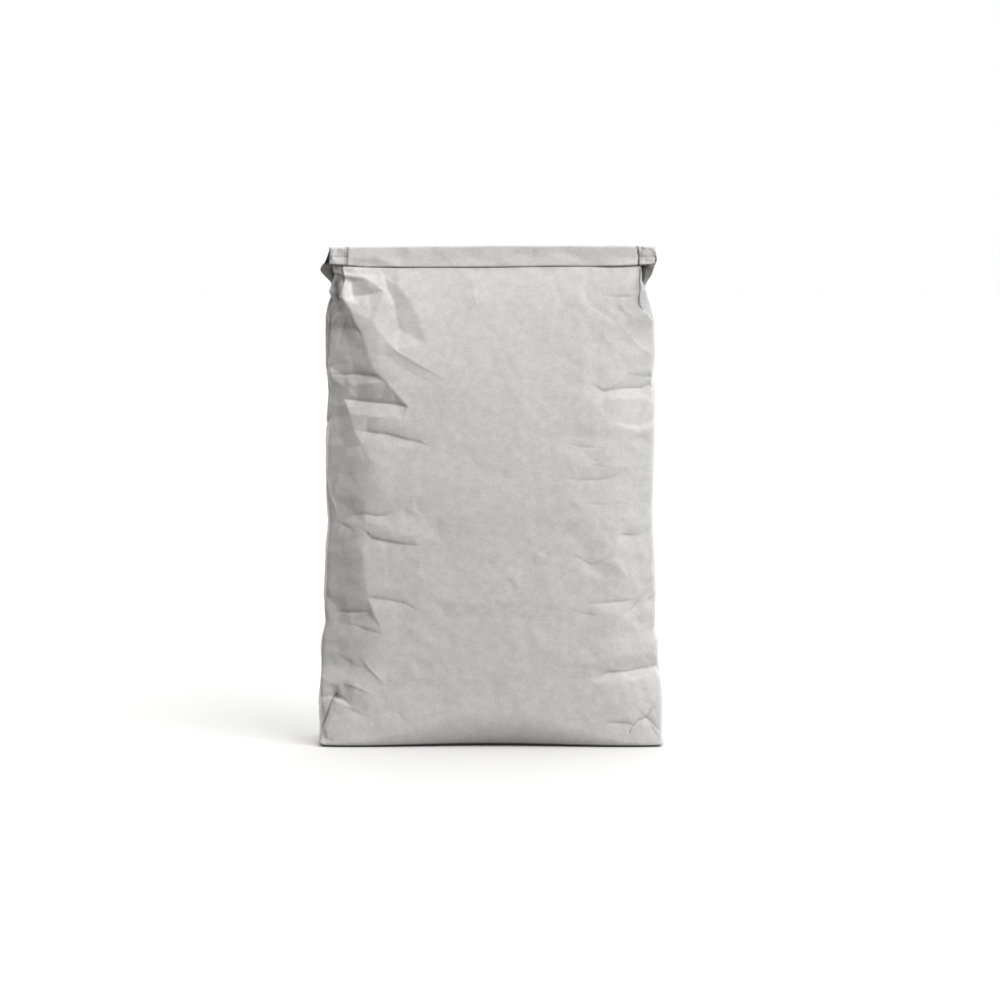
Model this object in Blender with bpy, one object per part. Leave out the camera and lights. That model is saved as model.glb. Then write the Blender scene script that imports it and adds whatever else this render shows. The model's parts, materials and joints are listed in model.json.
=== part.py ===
"""A 25 kg paper cement bag that stands on its block bottom, with a flattened and rolled top.

Frame: metres, +Z up. -Y is the front panel, with the rolled band at its top, and +X is the viewer's right.
The origin is on the floor, under the middle of the bag.

The bag is two pieces. The paper sack is one tube of paper. Its bottom is closed flat. Its top is pressed
flat, carried over forwards and turned under once, so that the mouth lies hidden behind the band. The cement
fills the sack up to its shoulders.
"""

from typing import NamedTuple

import bmesh
import bpy
import numpy as np

MM = 0.001

# Driving sizes of the standing sack
WIDTH = 400 * MM
HEIGHT = 609 * MM
DEPTH = 122 * MM
BELLY_HEIGHT = 200 * MM
BASE_EDGE_RADIUS = 9 * MM

# The paper: all its plies together, and the slit that is left between two walls pressed flat
WALL = 0.6 * MM
SLIT = 0.4 * MM
PRESSED = 2 * WALL + SLIT

# The rolled top: three pressed layers from front to back, with a little air between them
BAND_HEIGHT = 25 * MM
LAYER_STEP = PRESSED + 0.4 * MM
TURNED_UNDER = 17 * MM
MOUTH_TAPER = 3 * MM
NECK_HEIGHT = HEIGHT - BAND_HEIGHT - 2 * MM
NECK_Y = LAYER_STEP

# The cement ends level below the neck, at one of the body levels, and lies this far inside the paper
FILL_LEVEL = 540
FILL_GAP = 0.4 * MM

# Half the depth at the base, as a part of the half depth at the belly
BASE_DEPTH_RATIO = 0.92
# The shoulders close from the belly to the neck as (1 - rise ** SHOULDER_BEND) ** SHOULDER_CLOSE
SHOULDER_BEND = 2.4
SHOULDER_CLOSE = 0.8
# From this height up, the middle of the sack leans back to the neck
LEAN_START = 450 * MM

# Millimetres of height, and how far each side then stands outside half the width. The lowest bulge is the
# foot, the narrowest place is the tuck under the ear, and the ear is the gusset that stands out at the neck.
LEFT_SIDE = [(0, 6), (62, 10), (158, 3), (277, 0), (490, 3), (561, -4), (578, 8), (594, 2), (607, -3)]
RIGHT_SIDE = [(0, 6), (62, 10), (147, 0), (260, -1), (435, 0), (490, 1), (563, -12), (586, 2), (607, -1)]

# The front and the back panel fall away from their middles to the side panels, and bend on the way. Each row
# has millimetres of height, the place of the bend as a share of the way to the corner, and the millimetres
# that the panel has fallen back at the corner. The left side sags most under the fold at 413 mm.
LEFT_PANEL = [
    (0, 0.88, 5), (13, 0.86, 8), (55, 0.76, 15), (98, 0.68, 25), (140, 0.68, 28), (205, 0.79, 28), (245, 0.78, 28),
    (337, 0.71, 30), (385, 0.82, 29), (413, 0.60, 38), (450, 0.66, 35), (495, 0.78, 25), (545, 0.90, 10),
    (565, 0.95, 4), (582, 0.95, 0),
]
RIGHT_PANEL = [
    (0, 0.88, 5), (30, 0.82, 9), (98, 0.72, 19), (200, 0.76, 23), (320, 0.70, 23), (430, 0.74, 23), (495, 0.72, 17),
    (540, 0.88, 8), (565, 0.95, 3), (582, 0.95, 0),
]
# The part of a panel's fall that only starts at its bend, and the most of the half depth that a panel may fall
BEND_PART = 0.52
MOST_FALL = 0.65
# How far the side panels swell, and the cut that stands for the rounded fold between two panels. It takes at
# most MOST_CUT of the half depth at the corner.
SIDE_BULGE = 2.5 * MM
CORNER_CUT = 4 * MM
MOST_CUT = 0.3

# Millimetres of height of the sections between the rounded edge of the base and the neck
BODY_LEVELS = [24, 62, 100, 150, 200, 250, 300, 350, 385, 413, 440, 475, 500, 521, 540, 553, 563, 572, 578]
# Sections of the flat neck, in millimetres above its start
NECK_LEVELS = [0, 7, 14, 20]

# How finely each section and fold is divided. The shares are those of the way from the middle of a panel to
# its bend or corner, and from the corner to the middle of a side panel.
PANEL_SHARES = (0.0, 0.3, 0.55)
SIDE_SHARES = (0.5, 0.0)
BASE_EDGE_STEPS = 3
TOP_FOLD_STEPS = 6
UNDER_FOLD_STEPS = 4

# Linear colours
PAPER_COLOUR = (0.60, 0.59, 0.57)
CEMENT_COLOUR = (0.30, 0.30, 0.29)


def read(table, height):
    """The value of a table of (millimetres, value) at a height in metres, straight between its rows."""
    heights, values = zip(*table)
    return float(np.interp(height / MM, heights, values))


class Side(NamedTuple):
    """The left or the right half of a section.

    reach is the distance of the side panel from the middle of the bag, bend is the place of the panels' bend as
    a share of the way to the corner, and fall is how far they have fallen back at the corner.
    """

    reach: float
    bend: float
    fall: float


class Section:
    """A closed loop of points round the sack, square to the line that runs up the middle of the tube.

    centre is (y, z), heading is the direction of the tube there in Y and Z, half_depth is that of the middles
    of the two panels, and left and right are the two sides.
    """

    def __init__(self, centre, heading, half_depth, left, right):
        self.centre = centre
        self.heading = heading
        self.half_depth = half_depth
        self.left = left
        self.right = right

    def quarter(self, side, inset):
        """Distances from the middle of the section, from the middle of a panel to that of the side panel.

        On the panel x is share * corner, and its depth is half depth - fall * (0.48 share^2 + 0.52 past), with
        past from 0 at the bend to 1 at the corner. On the side panel x is corner + bulge * (1 - g^2), with g
        from 1 at the corner to 0.
        """
        fall = min(side.fall, MOST_FALL * self.half_depth)
        bulge = SIDE_BULGE * self.half_depth / (DEPTH / 2)
        corner = side.reach - bulge - inset
        corner_depth = self.half_depth - fall - inset
        cut = min(CORNER_CUT, MOST_CUT * corner_depth)

        share = np.array([*PANEL_SHARES, side.bend, (1 + side.bend) / 2, 1 - cut / corner])
        past = np.clip((share - side.bend) / (1 - side.bend), 0, 1)
        panel_depth = self.half_depth - inset - fall * ((1 - BEND_PART) * share ** 2 + BEND_PART * past)
        across = np.array([1 - cut / corner_depth, *SIDE_SHARES])
        x = np.concatenate([share * corner, corner + bulge * (1 - across ** 2)])
        return x, np.concatenate([panel_depth, across * corner_depth])

    def loop(self, inset):
        """The points, moved in by inset, from the middle of the front to the right and round over the back.

        Every section has the same number of points in the same order, so that columns of them run up the sack.
        """
        right_x, right_depth = self.quarter(self.right, inset)
        left_x, left_depth = self.quarter(self.left, inset)
        x = np.concatenate([right_x, right_x[-2::-1], -left_x[1:], -left_x[-2:0:-1]])
        forward = np.concatenate([right_depth, -right_depth[-2::-1], -left_depth[1:], left_depth[-2:0:-1]])
        y = self.centre[0] - forward * self.heading[1]
        z = self.centre[1] + forward * self.heading[0]
        return np.column_stack([x, y, z])


def half_depth(height):
    """Fullest at the belly, a little less at the base, and closed to two pressed walls at the neck."""
    if height < BELLY_HEIGHT:
        fall = 1 - height / BELLY_HEIGHT
        return DEPTH / 2 * (1 - (1 - BASE_DEPTH_RATIO) * fall ** 2)
    rise = min((height - BELLY_HEIGHT) / (NECK_HEIGHT - BELLY_HEIGHT), 1.0)
    return max(DEPTH / 2 * (1 - rise ** SHOULDER_BEND) ** SHOULDER_CLOSE, PRESSED / 2)


def body_side(outline_table, panel_table, height, edge):
    """One side of the standing sack at a height, from the tables of its outline and of its panels."""
    bends = [(level, bend) for level, bend, _ in panel_table]
    falls = [(level, fall) for level, _, fall in panel_table]
    reach = WIDTH / 2 + read(outline_table, height) * MM - edge
    return Side(reach, read(bends, height), read(falls, height) * MM)


def body_section(height, edge=0.0):
    """A level section of the standing sack. edge draws it in, for the rounded edge of the base."""
    lean = np.clip((height - LEAN_START) / (NECK_HEIGHT - LEAN_START), 0, 1)
    return Section(
        centre=(NECK_Y * lean, height),
        heading=(0.0, 1.0),
        half_depth=half_depth(height) - edge,
        left=body_side(LEFT_SIDE, LEFT_PANEL, height, edge),
        right=body_side(RIGHT_SIDE, RIGHT_PANEL, height, edge),
    )


def base_sections(floor):
    """A quarter round from the flat base to the sides. floor is how far this skin lies inside the paper."""
    radius = BASE_EDGE_RADIUS - floor
    quarter = np.linspace(0, np.pi / 2, BASE_EDGE_STEPS + 1)
    return [body_section(floor + radius * (1 - np.cos(angle)), radius * (1 - np.sin(angle))) for angle in quarter]


def flat_section(centre, heading, taper=0.0):
    """A section of the rolled top, two walls pressed flat."""
    rim = body_section(HEIGHT)
    left, right = (side._replace(reach=side.reach - taper) for side in (rim.left, rim.right))
    return Section(centre, heading, PRESSED / 2, left, right)


def fold_sections(hub, radius, start, steps):
    """Half a turn of the pressed tube about a hub in Y and Z, from back to front over the top, or on round."""
    sections = []
    for angle in start + np.linspace(0, np.pi, steps + 1):
        spoke = np.array([np.cos(angle), np.sin(angle)])
        heading = (-spoke[1], spoke[0])
        sections.append(flat_section(tuple(hub + radius * spoke), heading))
    return sections


def rolled_top_sections():
    """The neck, the fold over the top, the band's lower edge, and the end that is turned under."""
    neck = [body_section(NECK_HEIGHT + level * MM) for level in NECK_LEVELS]

    top_hub = np.array([NECK_Y - LAYER_STEP, HEIGHT - PRESSED / 2 - LAYER_STEP])
    top_fold = fold_sections(top_hub, LAYER_STEP, 0.0, TOP_FOLD_STEPS)

    under_radius = LAYER_STEP / 2
    under_hub = np.array([-NECK_Y + under_radius, HEIGHT - BAND_HEIGHT + PRESSED / 2 + under_radius])
    under_fold = fold_sections(under_hub, under_radius, np.pi, UNDER_FOLD_STEPS)

    mouth = flat_section((0.0, under_hub[1] + TURNED_UNDER), (0.0, 1.0), MOUTH_TAPER)
    return neck + top_fold + under_fold + [mouth]


def sack_skin(inset):
    """The loops of one skin of the sack, from the base up to the mouth."""
    sections = base_sections(inset) + [body_section(level * MM) for level in BODY_LEVELS]
    return [section.loop(inset) for section in sections + rolled_top_sections()]


def fill_skin():
    """The loops round the cement, which follows the paper up to its own level top."""
    inset = WALL + FILL_GAP
    body = [body_section(level * MM) for level in BODY_LEVELS if level <= FILL_LEVEL]
    return [section.loop(inset) for section in base_sections(inset) + body]


def loft(name, loops, material):
    """Bridges the loops in their order, fills the first and the last, and links the new object.

    Every quad is cut along its shorter diagonal, so that skins that lie inside each other stay parallel.
    """
    mesh = bmesh.new()
    rings = []
    for loop in loops:
        corners = [mesh.verts.new(point) for point in loop]
        rings.append([mesh.edges.new(pair) for pair in zip(corners, corners[1:] + corners[:1])])
    for ring, following in zip(rings, rings[1:]):
        bmesh.ops.bridge_loops(mesh, edges=ring + following)
    bmesh.ops.triangulate(mesh, faces=mesh.faces, quad_method="SHORT_EDGE")
    bmesh.ops.edgeloop_fill(mesh, edges=rings[0])
    bmesh.ops.edgeloop_fill(mesh, edges=rings[-1])
    bmesh.ops.recalc_face_normals(mesh, faces=mesh.faces)

    data = bpy.data.meshes.new(name)
    mesh.to_mesh(data)
    mesh.free()
    data.shade_smooth()
    data.set_sharp_from_angle(angle=np.radians(35))
    data.materials.append(material)
    piece = bpy.data.objects.new(name, data)
    bpy.context.scene.collection.objects.link(piece)


def matt_material(name, colour, roughness):
    """A matt Principled material in one colour."""
    material = bpy.data.materials.new(name)
    material.use_nodes = True
    shader = material.node_tree.nodes["Principled BSDF"]
    shader.inputs["Base Color"].default_value = (*colour, 1.0)
    shader.inputs["Roughness"].default_value = roughness
    shader.inputs["Metallic"].default_value = 0.0
    return material


def main():
    for old in list(bpy.data.objects):
        bpy.data.objects.remove(old)
    outside = sack_skin(inset=0.0)
    inside = sack_skin(inset=WALL)
    loft("paper_sack", outside + inside[::-1], matt_material("kraft_paper", PAPER_COLOUR, 0.8))
    loft("cement_fill", fill_skin(), matt_material("cement_powder", CEMENT_COLOUR, 0.95))


main()
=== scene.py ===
# %% [markdown]
# # A filled paper cement bag
#
# This lesson dresses the plain CAD model of a 25 kg cement bag. The real one is a tube of uncoated sack paper,
# pasted shut at the bottom, filled with powder, pressed flat at the top, and rolled over forwards into a band.
# Nothing on it is stretchy, so it keeps the shape of folded paper: broad soft panels, and crisp creases where the
# powder has settled and left the paper too long.

# %% The frame that everything stands in
import json

import bmesh
import bpy
import numpy as np
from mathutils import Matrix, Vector
from mathutils.geometry import delaunay_2d_cdt

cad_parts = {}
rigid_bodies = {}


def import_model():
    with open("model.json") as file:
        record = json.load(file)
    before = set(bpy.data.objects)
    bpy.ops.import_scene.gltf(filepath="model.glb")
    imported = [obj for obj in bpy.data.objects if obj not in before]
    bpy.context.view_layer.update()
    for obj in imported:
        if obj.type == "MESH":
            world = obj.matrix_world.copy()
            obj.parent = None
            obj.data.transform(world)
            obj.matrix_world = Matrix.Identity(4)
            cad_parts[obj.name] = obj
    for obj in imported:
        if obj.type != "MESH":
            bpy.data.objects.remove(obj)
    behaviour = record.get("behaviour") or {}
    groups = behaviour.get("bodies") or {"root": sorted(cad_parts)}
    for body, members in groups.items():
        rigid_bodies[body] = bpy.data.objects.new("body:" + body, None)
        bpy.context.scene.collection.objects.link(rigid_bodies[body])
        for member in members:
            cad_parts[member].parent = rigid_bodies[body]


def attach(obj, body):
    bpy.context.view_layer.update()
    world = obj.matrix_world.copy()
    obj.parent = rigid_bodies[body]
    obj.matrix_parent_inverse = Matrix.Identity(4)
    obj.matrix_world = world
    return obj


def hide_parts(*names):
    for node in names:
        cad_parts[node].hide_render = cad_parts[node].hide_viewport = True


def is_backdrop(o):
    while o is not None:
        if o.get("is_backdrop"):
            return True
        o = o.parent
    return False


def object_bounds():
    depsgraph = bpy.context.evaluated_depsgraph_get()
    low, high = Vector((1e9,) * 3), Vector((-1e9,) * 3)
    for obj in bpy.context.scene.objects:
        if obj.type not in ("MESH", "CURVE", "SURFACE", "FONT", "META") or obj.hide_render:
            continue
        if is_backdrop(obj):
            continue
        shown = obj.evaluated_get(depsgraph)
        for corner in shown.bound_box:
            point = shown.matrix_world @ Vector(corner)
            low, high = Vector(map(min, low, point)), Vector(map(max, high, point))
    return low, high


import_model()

MM = 0.001
CAD_LOW, CAD_HIGH = (np.array(corner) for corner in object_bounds())
HEIGHT = CAD_HIGH[2] / MM
print("CAD box in mm:", (CAD_LOW / MM).round(1), (CAD_HIGH / MM).round(1))

# %% [markdown]
# ## The camera
#
# A long lens far away gives almost parallel lines, which is why the bag's sides look straight. The camera looks
# down a little, so that the floor is seen in front of the bag. Three marks in the photograph fix everything else:
# the column through the middle of the bag, and the rows of its top and of its foot. They give the size of a pixel,
# and the distance follows from that, because the width in view is to the distance as the sensor is to the lens.
# The size of a pixel and the distance depend on each other a little, so they are found in a few rounds.

# %% The camera, from three marks in the photograph
PHOTO_SIZE = 1000
MIDDLE_COLUMN = 491
TOP_ROW = 246.1
FLOOR_ROW = 745.5
FOOT_FORWARD = 40
LENS = 100
SENSOR = 36
LOOK_DOWN = np.radians(5)

forward = np.array([0, np.cos(LOOK_DOWN), -np.sin(LOOK_DOWN)])
upward = np.array([0, np.sin(LOOK_DOWN), np.cos(LOOK_DOWN)])
MM_PER_PIXEL = HEIGHT / (FLOOR_ROW - TOP_ROW)
for _ in range(5):
    distance = PHOTO_SIZE * MM_PER_PIXEL * LENS / SENSOR
    top_up = (PHOTO_SIZE / 2 - TOP_ROW) * MM_PER_PIXEL
    aim_z = HEIGHT - top_up / (np.cos(LOOK_DOWN) + np.sin(LOOK_DOWN) * top_up / distance)
    foot = np.array([0, -FOOT_FORWARD, -aim_z])
    foot_down = -foot @ upward * distance / (distance + foot @ forward)
    MM_PER_PIXEL *= (foot_down + top_up) / MM_PER_PIXEL / (FLOOR_ROW - TOP_ROW)
aim_x = (PHOTO_SIZE / 2 - MIDDLE_COLUMN) * MM_PER_PIXEL
eye = np.array([aim_x, 0, aim_z]) - forward * distance

camera_data = bpy.data.cameras.new("camera")
camera_data.lens = LENS
camera_data.sensor_width = SENSOR
camera = bpy.data.objects.new("camera", camera_data)
camera.location = Vector(eye * MM)
camera.rotation_euler = Vector(forward).to_track_quat("-Z", "Y").to_euler()
bpy.context.scene.collection.objects.link(camera)
bpy.context.scene.camera = camera
print("one pixel is", round(MM_PER_PIXEL, 3), "mm, and the camera is", round(distance), "mm away")

# %% [markdown]
# ## Reading places off the photograph
#
# Outlines and creases further on are given as pixels. A pixel alone is a line of sight, so a place needs one thing
# more: how far forward it lies. Where that line meets an upright plane across the bag is the place.

# %% From a pixel to a place
def photo_place(column, row, y=0.0):
    """(x, z) in mm where the line of sight of a pixel meets the upright plane at y.

    The line is eye + s * (forward + right * u + up * v), with u and v the pixel's distance from the centre of the
    picture over the camera's distance, and s follows from y.
    """
    sight_x = (np.asarray(column) - PHOTO_SIZE / 2) * MM_PER_PIXEL / distance
    sight_up = (PHOTO_SIZE / 2 - np.asarray(row)) * MM_PER_PIXEL / distance
    along = (y - eye[1]) / (forward[1] + sight_up * upward[1])
    return eye[0] + along * sight_x, eye[2] + along * (forward[2] + sight_up * upward[2])


print("the marks are at heights", [round(float(photo_place(MIDDLE_COLUMN, row)[1])) for row in (TOP_ROW, FLOOR_ROW)])

# %% [markdown]
# ## Colours and nodes
#
# Colours are picked as sRGB hex values, as on a screen, and Blender's shaders work in linear light, so one
# function converts them. A second one adds a shader node with its settings and its links, which keeps the
# materials short.

# %% Two helpers for materials
def linear(colour, alpha=1.0):
    """sRGB hex to linear: value / 12.92 below 0.04045, and ((value + 0.055) / 1.055) ** 2.4 above."""
    srgb = np.array([int(colour[place:place + 2], 16) for place in (1, 3, 5)]) / 255
    light = np.where(srgb <= 0.04045, srgb / 12.92, ((srgb + 0.055) / 1.055) ** 2.4)
    return (*light.tolist(), alpha)


def add_node(tree, kind, inputs=None, **settings):
    """A node of that kind. settings are its properties, and inputs are values or sockets by input name."""
    node = tree.nodes.new(kind)
    for name, value in settings.items():
        setattr(node, name, value)
    for name, value in (inputs or {}).items():
        if isinstance(value, bpy.types.NodeSocket):
            tree.links.new(value, node.inputs[name])
        else:
            node.inputs[name].default_value = value
    return node


# %% [markdown]
# ## Floor and light
#
# A product photograph on white needs two kinds of light. The ground has to be bright enough to vanish, and the
# bag needs one main light from a side, or its folds would be lost. Here a large soft light shines from the upper
# right in front, and a weak warm one fills the left, as the wooden wall of a room would. Two rims from behind
# give the outline its pale edge. The floor has lamps of its own: light linking lets a lamp reach only chosen objects, so the floor can be nearly white while its soft
# shadow stays as faint as in the photograph. The floor isn't let throw its brightness back at the bag, as in a
# studio where black cards stand round a dark spot, so that the folds stay dark below.

# %% The floor
FLOOR_REACH = 40.0
FLOOR_COLOUR = "#F6F6F5"

floor_data = bpy.data.meshes.new("floor")
floor_data.from_pydata(
    [(-FLOOR_REACH, -FLOOR_REACH, 0), (FLOOR_REACH, -FLOOR_REACH, 0),
     (FLOOR_REACH, FLOOR_REACH, 0), (-FLOOR_REACH, FLOOR_REACH, 0)], [], [(0, 1, 2, 3)])
floor = bpy.data.objects.new("floor", floor_data)
floor.visible_diffuse = False
bpy.context.scene.collection.objects.link(floor)

floor_paint = bpy.data.materials.new("matt_white_paint")
floor_paint.use_nodes = True
floor_shader = floor_paint.node_tree.nodes["Principled BSDF"]
floor_shader.inputs["Base Color"].default_value = linear(FLOOR_COLOUR)
floor_shader.inputs["Roughness"].default_value = 1.0
floor_shader.inputs["Specular IOR Level"].default_value = 0.0
floor_data.materials.append(floor_paint)
floor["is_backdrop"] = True


# %% The lights
def soft_sun(name, towards, strength, softness, colour="#FFFFFF", floor_state=None):
    """A sun that shines from the direction towards, as wide in the sky as softness in degrees.

    floor_state is "INCLUDE" for a lamp that reaches only the floor, and "EXCLUDE" for one that leaves it out.
    """
    data = bpy.data.lights.new(name, "SUN")
    data.energy = strength
    data.angle = np.radians(softness)
    data.color = linear(colour)[:3]
    lamp = bpy.data.objects.new(name, data)
    lamp.rotation_euler = Vector(towards).to_track_quat("Z", "Y").to_euler()
    lamp.location = Vector(towards) * 2
    bpy.context.scene.collection.objects.link(lamp)
    if floor_state:
        receivers = bpy.data.collections.new(name + " receivers")
        receivers.objects.link(floor)
        receivers.collection_objects[0].light_linking.link_state = floor_state
        lamp.light_linking.receiver_collection = receivers


KEY_DIRECTION = (1.06, -0.78, 0.8)
FLOOR_KEY_DIRECTION = (0.96, -0.72, 0.82)
soft_sun("key_light", KEY_DIRECTION, 3.4, 30, floor_state="EXCLUDE")
soft_sun("warm_fill", (-1.0, -0.5, 0.1), 0.3, 60, "#FFD6B0", floor_state="EXCLUDE")
soft_sun("left_rim", (-1.0, 0.75, 0.25), 1.5, 40, floor_state="EXCLUDE")
soft_sun("right_rim", (1.0, 0.75, 0.25), 0.7, 40, floor_state="EXCLUDE")
soft_sun("top_light", (0.1, 0.16, 1.0), 1.15, 70)
soft_sun("floor_key", FLOOR_KEY_DIRECTION, 1.65, 50, floor_state="INCLUDE")
soft_sun("floor_sky", (0, 0, 1), 0.2, 130, floor_state="INCLUDE")

# Rays from the camera see pure white. The bag is lit by a dimmer grey, which is darkest from below and brighter
# from behind, where the white backdrop stands and gives the outline its pale rim.
SKY_LIGHT, GROUND_LIGHT, BACKDROP_LIGHT = 0.36, 0.12, 0.5
WORLD_COLOUR = "#FFFFFF"
world = bpy.data.worlds.new("white_surround")
world.use_nodes = True
world_tree = world.node_tree
world_tree.nodes.clear()
direction = add_node(world_tree, "ShaderNodeTexCoord").outputs["Generated"]
upwards = add_node(world_tree, "ShaderNodeSeparateXYZ", {"Vector": direction})
glow = add_node(world_tree, "ShaderNodeMapRange", {
    "Value": upwards.outputs["Z"], "From Min": -0.35, "From Max": 0.35, "To Min": GROUND_LIGHT, "To Max": SKY_LIGHT})
backdrop = add_node(world_tree, "ShaderNodeMapRange", {
    "Value": upwards.outputs["Y"], "From Min": 0.0, "From Max": 0.8, "To Min": 0.0, "To Max": BACKDROP_LIGHT})
strength = add_node(world_tree, "ShaderNodeMath", {0: glow.outputs["Result"], 1: backdrop.outputs["Result"]}, operation="ADD")
seen = add_node(world_tree, "ShaderNodeBackground", {"Color": (1, 1, 1, 1), "Strength": 1.0})
felt = add_node(world_tree, "ShaderNodeBackground", {"Color": linear(WORLD_COLOUR), "Strength": strength.outputs[0]})
ray = add_node(world_tree, "ShaderNodeLightPath")
both = add_node(world_tree, "ShaderNodeMixShader", {"Fac": ray.outputs["Is Camera Ray"]})
world_tree.links.new(felt.outputs[0], both.inputs[1])
world_tree.links.new(seen.outputs[0], both.inputs[2])
add_node(world_tree, "ShaderNodeOutputWorld", {"Surface": both.outputs[0]})
bpy.context.scene.world = world
bpy.context.scene.view_settings.view_transform = "Standard"

# %% [markdown]
# ## The outlines of the sack
#
# Seen from the front, a filled sack has two outlines. Each is a list of pixels down the edge of the bag. At the
# top the back panel gives them, because its corners flare out as ears. Under the band three more lines run down
# on each side: the fold at the front panel's corner, the lip where the side panel turns in, and the bottom of the
# tuck behind that lip.

# %% Outlines picked from the photograph
LEFT_OUTLINE = [
    (326.0, 745.5), (322.3, 742), (321.0, 727), (318.5, 701), (319.1, 692), (321.4, 668), (320.8, 646),
    (321.7, 635), (325.5, 618), (323.7, 594), (325.0, 565), (325.6, 545), (328.0, 520), (326.2, 495),
    (325.8, 470), (325.8, 441), (326.6, 419), (328.5, 393), (327.6, 378), (325.6, 366), (325.4, 350),
    (325.7, 315), (328.4, 301), (331.5, 290), (330.6, 284), (319.8, 272.7), (326.8, 257), (329.3, 249)]
RIGHT_OUTLINE = [
    (651.5, 745.5), (656.7, 743), (657.3, 737), (661.8, 727), (662.4, 701), (662.4, 687), (658.5, 664),
    (657.9, 637), (654.8, 626), (656.0, 593), (654.8, 560), (653.3, 530), (652.5, 506), (654.4, 450),
    (655.2, 399), (654.8, 388), (652.9, 374), (655.4, 352), (654.4, 330), (653.7, 319), (652.0, 311),
    (648.7, 300), (645.2, 290), (646.5, 284), (651.6, 277), (655.4, 265), (657.3, 260), (655.4, 249)]
LEFT_CORNER = [(327.0, 345), (337.0, 318), (342.8, 299), (343.6, 283), (344.6, 268), (345.0, 249)]
RIGHT_CORNER = [(653.0, 335), (651.5, 322), (647.5, 315.5), (639.5, 310), (637.0, 304), (637.4, 297), (638.3, 284),
                (639.2, 268), (639.2, 249)]
LEFT_LIP = [(325.7, 315), (328.4, 301), (331.5, 290), (332.5, 281), (334.2, 266), (334.2, 249)]
RIGHT_LIP = [(652.0, 311), (648.7, 300), (645.2, 290), (642.4, 281), (641.2, 268), (641.2, 249)]
LEFT_TUCK = [(326.0, 312), (329.0, 301), (334.0, 291), (350.0, 282), (372.0, 274), (393.0, 266), (393.0, 249)]
RIGHT_TUCK = [(652.0, 312), (648.0, 301), (642.0, 291), (630.0, 282), (612.0, 274), (591.0, 266), (591.0, 249)]


def smooth_table(heights, values):
    """A function of height: straight between the given points, with each corner rounded over 5 mm.

    The rounding is the mean of the straight-line value over a window: (1/w) * integral of v(h) for |h - z| < w/2.
    """
    order = np.argsort(heights)
    known_heights, known_values = np.asarray(heights)[order], np.asarray(values)[order]
    window = np.linspace(-2.5, 2.5, 7)

    def read(height):
        spread = np.asarray(height)[..., None] + window
        return np.interp(spread, known_heights, known_values).mean(axis=-1)
    return read


def outline(pixels):
    """An outline as a function from height to distance from the middle, both in mm."""
    places, heights = photo_place(*np.transpose(pixels))
    return smooth_table(heights, places)


left_side, right_side = outline(LEFT_OUTLINE), outline(RIGHT_OUTLINE)
left_corner, right_corner = outline(LEFT_CORNER), outline(RIGHT_CORNER)
left_lip, right_lip = outline(LEFT_LIP), outline(RIGHT_LIP)
left_tuck, right_tuck = outline(LEFT_TUCK), outline(RIGHT_TUCK)
for level in (60, 200, 400, 560):
    print("at", level, "mm: from", left_side(level).round(1), "to", right_side(level).round(1))

# %% [markdown]
# ## How deep the sack is
#
# From the side the sack is fullest at the belly and closes to two flat walls at the neck. The front closes a
# little later than the back, so that it still stands forward right under the band. Towards its corners each long
# panel falls back: first gently, as a pillow does, and then, past a soft bend, as a flat facet. The corners
# themselves are folds, which a flat tube of paper keeps from the machine that made it. The fall is small at the
# foot, where the bottom is square.

# %% Depth by height
BELLY = 200
NECK = 582
BASE_SHARE = 0.92
SHOULDER_BEND = 2.4
SHOULDER_CLOSE = 0.8
FRONT_CLOSES_AT, BACK_CLOSES_AT = 595, 584
PRESSED_HALF = 0.8
half_belly = CAD_HIGH[1] / MM
# (mm up, where the bend runs as a share of the way to the corner, mm that the panel has fallen back at the corner)
LEFT_PANEL = [(0, 0.88, 5), (13, 0.86, 8), (55, 0.76, 15), (98, 0.68, 25), (140, 0.68, 28), (205, 0.79, 28),
              (245, 0.78, 28), (337, 0.72, 30), (400, 0.70, 33), (450, 0.66, 35), (495, 0.78, 25),
              (545, 0.90, 10), (565, 0.95, 4), (582, 0.95, 0)]
RIGHT_PANEL = [(0, 0.88, 5), (30, 0.82, 9), (98, 0.72, 19), (200, 0.76, 23), (320, 0.70, 23), (430, 0.74, 23),
               (495, 0.72, 17), (540, 0.88, 8), (565, 0.95, 3), (582, 0.95, 0)]
BEND_PART = 0.52
BEND_SOFTNESS = 0.035
SIDE_BULGE = 2.5


def half_depth(height, closes_at):
    """Belly * (1 - 0.08 * (fall from the belly)^2) below it, and belly * (1 - rise^2.4)^0.8 above it."""
    fall = np.clip(1 - height / BELLY, 0, 1)
    rise = np.clip((height - BELLY) / (closes_at - BELLY), 0, 1)
    below = 1 - (1 - BASE_SHARE) * fall ** 2
    return np.maximum(half_belly * below * (1 - rise ** SHOULDER_BEND) ** SHOULDER_CLOSE, PRESSED_HALF)


def smooth_step(value, low, high):
    """3 s^2 - 2 s^3 for s from 0 at low to 1 at high."""
    share = np.clip((value - low) / (high - low), 0, 1)
    return share ** 2 * (3 - 2 * share)


def fall_share(share, bend):
    """How much of its fall a panel has had at a share of the way to the corner.

    It is 0.48 s^2, and past the bend b another 0.52 (s - b) / (1 - b), rounded as w * log(1 + exp((s - b) / w)).
    """
    past = BEND_SOFTNESS * np.log1p(np.exp((share - bend) / BEND_SOFTNESS))
    return (1 - BEND_PART) * share ** 2 + BEND_PART * past / (1 - bend)


left_bend, left_fall = (smooth_table(np.array(LEFT_PANEL)[:, 0], np.array(LEFT_PANEL)[:, part]) for part in (1, 2))
right_bend, right_fall = (smooth_table(np.array(RIGHT_PANEL)[:, 0], np.array(RIGHT_PANEL)[:, part]) for part in (1, 2))
print("depth at the belly", (2 * half_depth(BELLY, NECK)).round(1), "mm")

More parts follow.
